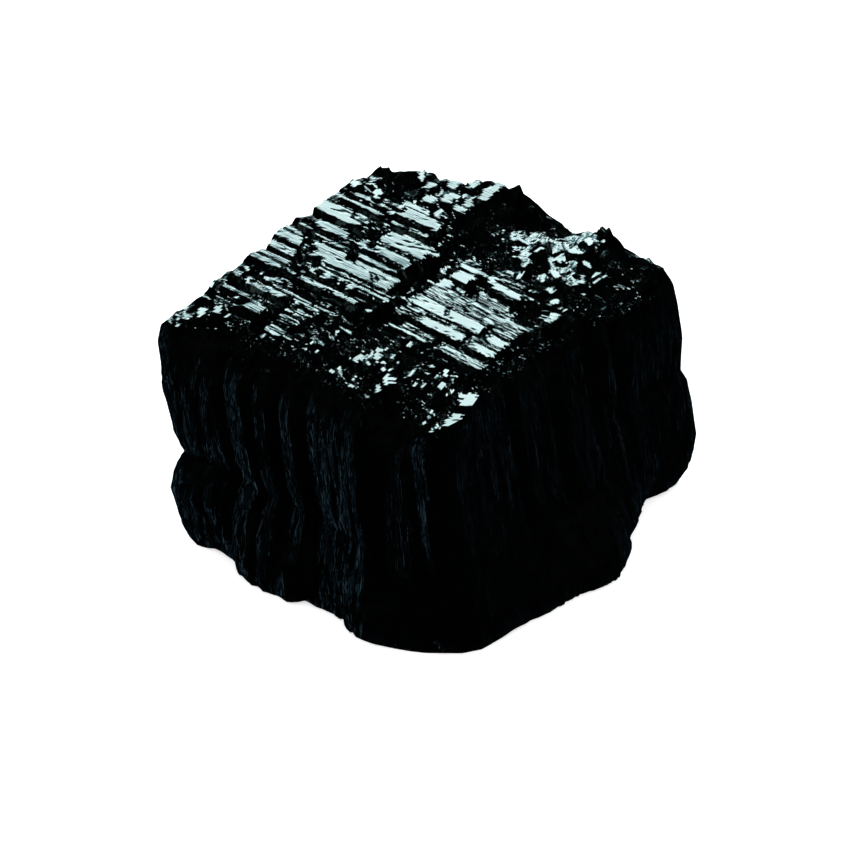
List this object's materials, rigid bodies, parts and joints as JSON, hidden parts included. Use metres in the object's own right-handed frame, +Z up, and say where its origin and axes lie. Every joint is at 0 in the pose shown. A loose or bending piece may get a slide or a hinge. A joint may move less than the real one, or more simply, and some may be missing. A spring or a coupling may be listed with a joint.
{
  "type": "raw black tourmaline crystal",
  "caption": "Blocky raw tourmaline crystal, near black and glassy, with a ledged and striated top, fluted sides and a flat base to rest on.",
  "frame": {"origin": "centre of the bounding box on the plane it rests on", "axes": "+Z up, away from the flat it rests on and towards the striated top; the striations of the top run nearly along X, and the flutes of the four sides run nearly along Z"},
  "size_m": [0.04, 0.042, 0.0272],
  "materials": {
    "tourmaline": "glassy black with fine striations, rough where it is broken"
  },
  "bodies": {
    "root": {"tourmaline_crystal": "tourmaline"}
  },
  "joints": []
}
